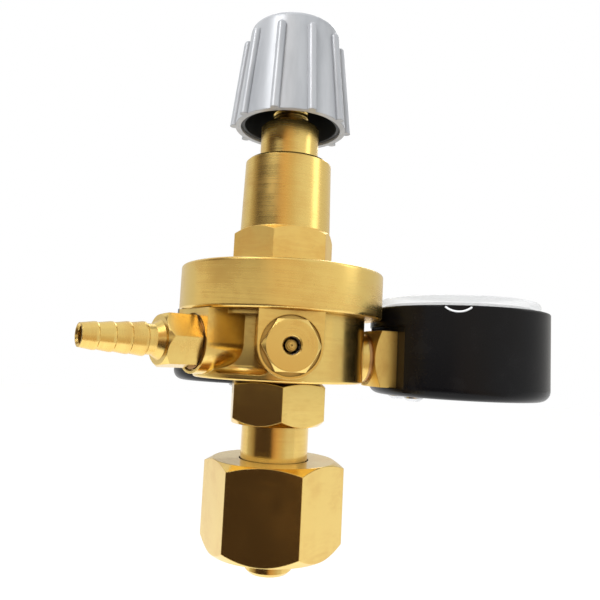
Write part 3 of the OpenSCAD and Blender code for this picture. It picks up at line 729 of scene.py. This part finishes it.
@dataclass
class LensTab:
    """A painted highlight: a pale crescent along the notch of a gauge case, standing in for the
    glint on the notch's rounded edge.
    """

    name: str
    foot: Vector
    azimuth: float
    case_radius: float
    case_height: float
    notch: float = 5.4 * MM
    above: float = 3.4 * MM
    thick: float = 0.30 * MM
    inset: float = 0.05 * MM
    half_angle: float = 40.0
    thinning: float = 1.3

    def build(self, material: bpy.types.Material) -> bpy.types.Object:
        """Bends an arc round the case's wall and thickens it, thinner at its ends.

        Args:
            material: the finish of the painted highlight.

        Returns:
            The crescent.
        """
        sizes = {"Notch": self.notch - self.thick,
                 "Wall": self.case_radius - self.thick - self.inset,
                 "Rise": self.case_height + self.above, "Thick": self.thick}
        geo = GeoTree(self.name, sizes)
        graph = geo.graph
        half = math.radians(self.half_angle)
        values = {"Resolution": 32, "Radius": geo.size("Notch"),
                  "Start Angle": -math.pi / 2 - half, "Sweep Angle": 2 * half}
        arc = graph.node("GeometryNodeCurveArc", {}, values)
        spot = graph.node("GeometryNodeInputPosition")
        side = graph.node("ShaderNodeSeparateXYZ", {}, {0: spot}, 0)
        drop = graph.node("ShaderNodeSeparateXYZ", {}, {0: spot}, 1)
        share = (side / geo.size("Notch")).absolute()
        values = {"Curve": arc, "Radius": 1.0 - share ** 2 * self.thinning}
        slim = graph.node("GeometryNodeSetCurveRadius", {}, values)
        out = (geo.size("Wall") ** 2 - side ** 2) ** 0.5
        where = graph.combine(out, side, geo.size("Rise") + drop)
        bent = graph.node("GeometryNodeSetPosition", {}, {"Geometry": slim, "Position": where})
        ring = {"Resolution": 10, "Radius": geo.size("Thick")}
        section = graph.node("GeometryNodeCurvePrimitiveCircle", {}, ring)
        values = {"Curve": bent, "Profile Curve": section, "Fill Caps": True}
        tube = graph.node("GeometryNodeCurveToMesh", {}, values)
        turn = (0.0, 0.0, math.radians(self.azimuth))
        home = {"Geometry": tube, "Translation": tuple(self.foot), "Rotation": turn}
        return geo.make(graph.node("GeometryNodeTransform", {}, home), material)


@dataclass
class DialScale:
    """The printed scale of a dial: ticks made by a rule and plain numbers."""

    name: str
    centre: Vector
    azimuth: float
    top: float
    radius: float
    sweep: float
    numbers: tuple[int, ...]
    small: int = 5
    tick_length: float = 2.8 * MM
    tick_width: float = 0.44 * MM
    number_size: float = 3.6 * MM
    number_weight: float = 0.14 * MM
    number_inset: float = 5.0 * MM
    ink: float = 0.04 * MM

    def _angle(self, share: float) -> float:
        """Direction of a share of the scale, in radians from +X."""
        return math.radians(self.azimuth + self.sweep / 2 - self.sweep * share)

    def _ticks(self, material: bpy.types.Material) -> bpy.types.Object:
        """Places one thin bar for each division, longer at the numbers.

        Args:
            material: the ink.

        Returns:
            All ticks as one piece.
        """
        count = (len(self.numbers) - 1) * self.small + 1
        sizes = {"Radius": self.radius, "Start": self._angle(0),
                 "Step": math.radians(self.sweep) / (count - 1), "Long": self.tick_length,
                 "Thick": self.tick_width}
        geo = GeoTree(self.name, sizes)
        graph = geo.graph
        points = graph.node("GeometryNodePoints", {}, {"Count": count})
        index = graph.node("GeometryNodeInputIndex")
        turn = geo.size("Start") - index * geo.size("Step")
        major = 1 - ((index / self.small).fraction() - 0.001).over(0.0)
        length = geo.size("Long") * (0.55 + major * 0.45)
        reach = geo.size("Radius") - length * 0.5
        where = graph.combine(reach * turn.cosine(), reach * turn.sine(), 0.0)
        values = {"Geometry": points, "Position": where}
        placed = graph.node("GeometryNodeSetPosition", {}, values)
        bar = graph.node("GeometryNodeMeshCube", {}, {"Size": (1.0, 1.0, 1.0)})
        stretch = graph.combine(length, geo.size("Thick") * (0.7 + major * 0.6), self.ink)
        values = {"Points": placed, "Instance": bar, "Rotation": graph.combine(0.0, 0.0, turn),
                  "Scale": stretch}
        bars = graph.node("GeometryNodeInstanceOnPoints", {}, values)
        home = (self.centre.x, self.centre.y, self.top + self.ink / 2)
        values = {"Geometry": bars, "Translation": home}
        lifted = graph.node("GeometryNodeTransform", {}, values)
        return geo.make(lifted, material)

    def _number(self, value: int, share: float,
                material: bpy.types.Material) -> bpy.types.Object:
        """Prints a plain number, upright for a reader with the shank at the bottom.

        Args:
            value: the number.
            share: its place on the scale, from 0 to 1.
            material: the ink.

        Returns:
            The number as a thin mesh.
        """
        curve = bpy.data.curves.new(f"{self.name}_number_{value}", "FONT")
        curve.body = str(value)
        curve.size = self.number_size
        curve.align_x, curve.align_y = "CENTER", "CENTER"
        curve.extrude = self.ink / 2
        curve.offset = self.number_weight
        text = add_object(curve.name, curve)
        bpy.context.view_layer.update()
        shown = text.evaluated_get(bpy.context.evaluated_depsgraph_get())
        mesh = bpy.data.meshes.new_from_object(shown)
        bpy.data.objects.remove(text)
        reach = self.radius - self.number_inset
        turn = self._angle(share)
        spot = self.centre + Vector((reach * math.cos(turn), reach * math.sin(turn), 0.0))
        spot.z = self.top + self.ink / 2
        upright = Matrix.Rotation(math.radians(self.azimuth - 90), 4, "Z")
        mesh.transform(Matrix.Translation(spot) @ upright)
        mesh.materials.clear()
        mesh.materials.append(material)
        return add_object(f"{self.name}_number_{value}", mesh)

    def build(self, material: bpy.types.Material) -> list[bpy.types.Object]:
        """Prints the whole scale.

        Args:
            material: the ink.

        Returns:
            The ticks and each number.
        """
        made = [self._ticks(material)]
        for place, value in enumerate(self.numbers):
            made.append(self._number(value, place / (len(self.numbers) - 1), material))
        return made


# ---------------------------------------------------------------- sub-assemblies


@dataclass
class Assembly:
    """A group of CAD nodes with their finishes, and the pieces added to them."""

    paints: Paints
    finishes: dict[str, Palette] = field(default_factory=dict)

    def dress_nodes(self) -> None:
        """Puts each CAD node's finish on it."""
        for node, choice in self.finishes.items():
            self.paints.dress(frame["nodes"][node], choice)
            LOG.info("dressed %s in %s", node, choice.value.name)

    def add(self, piece: bpy.types.Object, body: str, slot: str) -> None:
        """Lets an added piece ride on a body.

        Args:
            piece: the piece.
            body: the body of the frame that carries it.
            slot: the material slot; not used.
        """
        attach(piece, body)
        LOG.info("built %s on %s", piece.name, body)

    def build(self) -> None:
        """Dresses the nodes; a sub-assembly with more pieces adds them here."""
        self.dress_nodes()


@dataclass
class Inlet(Assembly):
    """Stem, washer, filter and union nut with its thread."""

    thread_pitch: float = 1.8 * MM
    thread_ridge: float = 0.5 * MM
    thread_radius: float = 10.35 * MM
    thread_from: float = 2.0 * MM
    thread_to: float = 11.5 * MM

    def build(self) -> None:
        """Dresses the inlet and lines the nut's hole with its thread."""
        self.dress_nodes()
        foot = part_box("union_nut")[0].z
        ridge = ThreadRidge("nut_thread", foot + self.thread_from, foot + self.thread_to,
                            self.thread_radius, self.thread_ridge, self.thread_pitch)
        self.add(ridge.build(self.paints.get(Palette.NUT)), "nut", "brass")


@dataclass
class Knob(Assembly):
    """Shell, liner and the threaded adjusting screw."""

    pitch: float = 1.5 * MM
    thread_depth: float = 0.6 * MM

    def build(self) -> None:
        """Dresses the knob and stands a threaded screw for the plain one."""
        self.dress_nodes()
        low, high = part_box("adjusting_screw")
        crest = (high.x - low.x) / 2
        root = crest - self.thread_depth
        rod = ThreadedRod("adjusting_screw_threaded", low.z, high.z, crest, root, self.pitch)
        piece = rod.build(self.paints.get(Palette.STEM))
        self.add(piece, "knob", "brass")
        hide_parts("adjusting_screw")


@dataclass
class Gauge(Assembly):
    """One dial gauge: case, lens, movement, dial and its printed scale."""

    side: str = "tank"
    azimuth: float = 12.0
    shank: Palette = Palette.TANK_SHANK
    numbers: tuple[int, ...] = (0, 5, 10, 15, 20, 25)
    sweep: float = 270.0
    notch_turn: float = -118.0
    dial_margin: float = 1.6 * MM

    PARTS: ClassVar[dict[str, Palette]] = {
        "case": Palette.BLACK, "lens": Palette.LENS, "dial": Palette.DIAL, "needle": Palette.INK,
        "pinion": Palette.INNER, "sector": Palette.INNER, "link": Palette.STEEL,
        "tube": Palette.BRONZE, "tube_tip": Palette.INNER, "movement_plates": Palette.INNER,
        "hairspring": Palette.BRONZE, "case_screws": Palette.STEEL,
        "dial_screws": Palette.STEEL, "seal": Palette.COPPER,
    }

    def build(self) -> None:
        """Dresses the gauge, prints its scale and adds a pale crescent in the case's notch as a
        painted highlight.
        """
        self.finishes = {f"{self.side}_gauge_{part}": choice
                         for part, choice in self.PARTS.items()}
        self.finishes[f"{self.side}_gauge_socket"] = self.shank
        self.dress_nodes()
        low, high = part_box(f"{self.side}_gauge_dial")
        centre = (low + high) / 2
        radius = (high.x - low.x) / 2 - self.dial_margin
        scale = DialScale(f"{self.side}_scale", centre, self.azimuth, high.z, radius, self.sweep,
                          self.numbers)
        for piece in scale.build(self.paints.get(Palette.INK)):
            self.add(piece, "regulator", "needle_black")
        low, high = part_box(f"{self.side}_gauge_case")
        foot = Vector(((low.x + high.x) / 2, (low.y + high.y) / 2, low.z))
        # Painted highlight: a pale crescent laid in the case's notch where the real case shows a
        # glint on its rounded edge.
        glint_arc = LensTab(f"{self.side}_lens_tab", foot, self.azimuth + self.notch_turn,
                      (high.x - low.x) / 2, high.z - low.z)
        self.add(glint_arc.build(self.paints.get(Palette.TAB)), "regulator", "clear_plastic")


# ---------------------------------------------------------------- studio


@dataclass
class Studio:
    """Floor, light and camera."""

    eye: Vector = field(default_factory=lambda: Vector((0.0, -163.2, 54.2)) * MM)
    yaw: float = 1.73
    pitch: float = 5.69
    roll: float = 2.76
    lens: float = 36.49
    floor_drop: float = 0.3
    screen: tuple[float, float] = (165.0, 340.0)
    screen_radius: float = 0.36
    screen_top: float = 0.75
    screen_steps: int = 40
    screen_slant: float = 0.42

    SCREEN_TONES: ClassVar[list[tuple[float, Colour]]] = [
        (0.0, (0.74, 0.73, 0.70, 1.0)), (0.13, (0.50, 0.44, 0.36, 1.0)),
        (0.20, (0.35, 0.27, 0.18, 1.0)), (0.25, (0.07, 0.04, 0.03, 1.0)),
        (0.56, (0.05, 0.03, 0.022, 1.0)), (0.60, (0.48, 0.27, 0.13, 1.0)),
        (0.68, (0.76, 0.52, 0.30, 1.0)), (0.80, (0.72, 0.62, 0.48, 1.0)),
        (0.88, (0.84, 0.83, 0.80, 1.0)), (1.0, (0.85, 0.85, 0.83, 1.0)),
    ]
    SLOT_TONE: ClassVar[Colour] = (0.88, 0.82, 0.71, 1.0)

    def _camera(self) -> None:
        """Sets the camera a hand's width from the object, a little below its middle."""
        data = bpy.data.cameras.new("camera")
        data.sensor_width = 36.0
        data.lens = self.lens
        data.clip_start, data.clip_end = 0.01, 20.0
        camera = add_object("camera", data)
        yaw, pitch = math.radians(self.yaw), math.radians(self.pitch)
        level = math.cos(pitch)
        ahead = Vector((math.sin(yaw) * level, math.cos(yaw) * level, math.sin(pitch)))
        right = Vector((math.cos(yaw), -math.sin(yaw), 0.0))
        up = right.cross(ahead)
        turn = math.radians(self.roll)
        side = right * math.cos(turn) + up * math.sin(turn)
        above = up * math.cos(turn) - right * math.sin(turn)
        basis = Matrix((side, above, -ahead)).transposed().to_4x4()
        camera.matrix_world = Matrix.Translation(self.eye) @ basis
        bpy.context.scene.camera = camera

    def _floor(self) -> None:
        """Lays a wide pale floor below the held part."""
        mesh = bpy.data.meshes.new("floor")
        half = 6.0
        signs = ((-1, -1), (1, -1), (1, 1), (-1, 1))
        corners = [(half * x, half * y, -self.floor_drop) for x, y in signs]
        mesh.from_pydata(corners, [], [(0, 1, 2, 3)])
        floor = add_object("floor", mesh)
        made, graph, shader = new_material("floor_pale")
        place = graph.node("ShaderNodeTexCoord", out="Object")
        cloud = graph.noise(place, 3.0, 2)
        colour = graph.blend(cloud, (0.93, 0.93, 0.93, 1.0), (0.96, 0.96, 0.96, 1.0))
        drive(graph, shader, Base_Color=colour, Roughness=0.9)
        drive(graph, shader, Emission_Color=(1.0, 1.0, 1.0, 1.0), Emission_Strength=0.18)
        mesh.materials.append(made)

    def _world(self) -> None:
        """A white tent: pure white where it is seen directly, a little softer in reflections."""
        world = bpy.data.worlds.new("tent")
        graph = empty_graph(world)
        ray = graph.node("ShaderNodeTexCoord", out="Generated")
        height = graph.node("ShaderNodeSeparateXYZ", {}, {0: ray}, 2).ease(0.2, 0.9)
        lit = graph.blend(height, (0.74, 0.73, 0.70, 1.0), (0.95, 0.95, 0.95, 1.0))
        seen = graph.node("ShaderNodeLightPath", out="Is Camera Ray")
        shown = graph.blend(seen, lit, (1.0, 1.0, 1.0, 1.0))
        back = graph.node("ShaderNodeBackground", {}, {"Color": shown, "Strength": 1.0})
        graph.node("ShaderNodeOutputWorld", {}, {"Surface": back})
        bpy.context.scene.world = world

    def _screen_mesh(self) -> bpy.types.Mesh:
        """Bends an upright strip round the object and unwraps it flat.

        Returns:
            The strip with one UV map.
        """
        low, high = -self.floor_drop + 0.001, self.screen_top
        first, last = (math.radians(angle) for angle in self.screen)
        points, uvs, faces = [], [], []
        for i in range(self.screen_steps + 1):
            share = i / self.screen_steps
            turn = first + (last - first) * i / self.screen_steps
            x, y = self.screen_radius * math.cos(turn), self.screen_radius * math.sin(turn)
            points += [(x, y, low), (x, y, high)]
            uvs += [(share, 0.0), (share, 1.0)]
        for i in range(self.screen_steps):
            faces.append((2 * i, 2 * i + 2, 2 * i + 3, 2 * i + 1))
        mesh = bpy.data.meshes.new("screen")
        mesh.from_pydata(points, [], faces)
        layer = mesh.uv_layers.new(name="across")
        for loop in mesh.loops:
            layer.data[loop.index].uv = uvs[loop.vertex_index]
        return mesh

    def _screen_material(self) -> bpy.types.Material:
        """Shades a glowing card from its UV map, dark in the middle, with a pale slot.

        Returns:
            The card's material.
        """
        made = bpy.data.materials.new("screen_dark")
        graph = empty_graph(made)
        across = graph.node("ShaderNodeTexCoord", out="UV")
        tall = graph.node("ShaderNodeSeparateXYZ", {}, {0: across}, 1)
        share = graph.node("ShaderNodeSeparateXYZ", {}, {0: across}, 0)
        slanted = share + (tall - 0.21) * self.screen_slant
        tone = graph.node("ShaderNodeValToRGB", {"stops": self.SCREEN_TONES}, {0: slanted})
        slot = tall.ease(0.340, 0.356) * (1 - tall.ease(0.405, 0.43))
        lit = graph.blend(slot, tone, self.SLOT_TONE)
        glow = graph.node("ShaderNodeEmission", {}, {"Color": lit, "Strength": 1.0})
        graph.node("ShaderNodeOutputMaterial", {}, {"Surface": glow})
        return made

    def _screen(self) -> None:
        """Stands a curved dark screen round the front left, which only shiny surfaces see."""
        mesh = self._screen_mesh()
        mesh.materials.append(self._screen_material())
        screen = add_object("screen", mesh)
        screen.visible_camera = False
        screen.visible_diffuse = False
        screen.visible_shadow = False
        screen.visible_transmission = False

    @staticmethod
    def _softbox(name: str, place: tuple[float, float, float], size: float,
                 watts: float) -> None:
        """Hangs a square softbox that faces the middle of the object.

        Args:
            name: the light's name.
            place: where it hangs, in metres.
            size: side of the square.
            watts: its power.
        """
        data = bpy.data.lights.new(name, "AREA")
        data.size = size
        data.energy = watts
        light = add_object(name, data)
        light.location = place
        middle = Vector((0.0, 0.0, 0.07))
        light.rotation_euler = (middle - Vector(place)).to_track_quat("-Z", "Y").to_euler()

    def build(self) -> None:
        """Sets up the whole studio."""
        self._camera()
        self._floor()
        self._world()
        self._screen()
        self._softbox("softbox_right", (0.45, -0.15, 0.30), 0.3, 0.4)
        self._softbox("softbox_left", (-0.34, -0.34, 0.55), 0.24, 3.0)
        self._softbox("softbox_back", (0.1, 0.5, 0.45), 0.3, 1.0)
        bpy.context.scene.view_settings.view_transform = "Standard"
        LOG.info("studio ready")


def main() -> None:
    """Builds the sub-assemblies in order."""
    logging.basicConfig(level=logging.INFO, format="%(message)s")
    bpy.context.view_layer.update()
    paints = Paints()
    Studio().build()
    Inlet(paints, {"union_nut": Palette.NUT, "inlet_stem": Palette.STEM,
                   "stem_washer": Palette.COPPER, "inlet_filter": Palette.SINTERED}).build()
    Assembly(paints, {"body": Palette.BODY, "cap": Palette.CAP, "spring_housing": Palette.HOUSING,
                      "main_spring": Palette.SPRING, "spring_button": Palette.INNER,
                      "diaphragm": Palette.RUBBER, "slip_ring": Palette.STEEL,
                      "diaphragm_plate": Palette.INNER}).build()
    Assembly(paints, {"valve_nozzle": Palette.INNER, "valve_poppet": Palette.INNER,
                      "poppet_seat": Palette.SEAT, "poppet_spring": Palette.STEEL}).build()
    Knob(paints, {"knob_shell": Palette.SILVER, "knob_core": Palette.LINER}).build()
    Assembly(paints, {"hose_barb": Palette.BARB, "barb_washer": Palette.COPPER,
                      "relief_cap": Palette.RELIEF, "relief_spring": Palette.STEEL,
                      "relief_poppet": Palette.RELIEF, "relief_seal": Palette.RUBBER}).build()
    Gauge(paints).build()
    Gauge(paints, side="outlet", azimuth=102.0, shank=Palette.OUTLET_SHANK,
          numbers=(0, 5, 10, 15, 20, 25, 30)).build()


if __name__ == "__main__":
    main()
